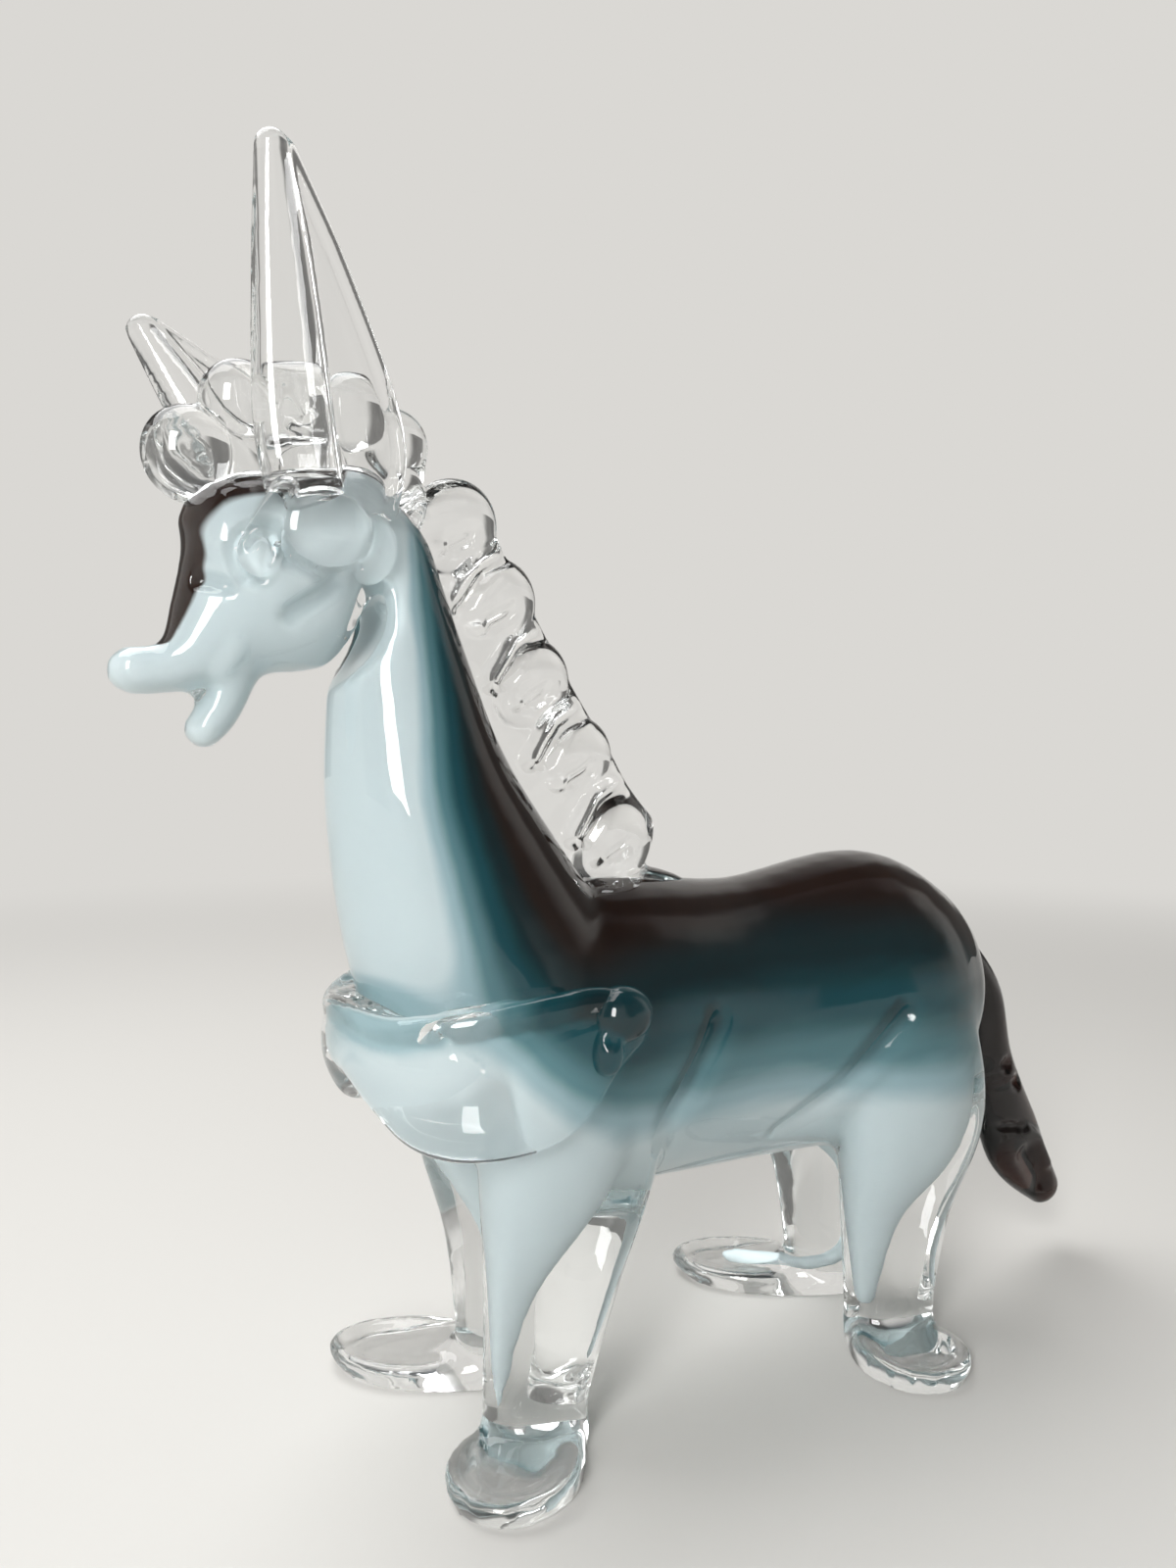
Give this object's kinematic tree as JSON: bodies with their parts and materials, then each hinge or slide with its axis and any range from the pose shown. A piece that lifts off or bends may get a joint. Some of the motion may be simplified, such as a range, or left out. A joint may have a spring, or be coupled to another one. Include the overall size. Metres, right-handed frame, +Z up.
{
  "type": "glass horse figurine",
  "caption": "Hot-worked solid glass horse: opal white core shaded teal and smoke in a clear casing, with crimped mane, tall ears, collar, smoke tail and splayed clear feet.",
  "frame": {"origin": "middle of the bounding box, on the plane of the soles", "axes": "-X is the way the horse faces, +Y is its right side, +Z is up"},
  "size_m": [0.2918, 0.102, 0.2942],
  "materials": {
    "clear_glass": "fire-polished clear",
    "opal_glass": "opal white shaded to teal and smoke brown",
    "smoke_glass": "fire-polished dark smoke brown"
  },
  "bodies": {
    "root": {"clear_casing": "clear_glass", "opal_core": "opal_glass", "mane": "clear_glass", "forelock": "clear_glass", "ear_left": "clear_glass", "ear_right": "clear_glass", "eye_left": "clear_glass", "eye_right": "clear_glass", "collar": "clear_glass", "tail": "smoke_glass", "foot_front_left": "clear_glass", "foot_front_right": "clear_glass", "foot_hind_left": "clear_glass", "foot_hind_right": "clear_glass"}
  },
  "joints": []
}
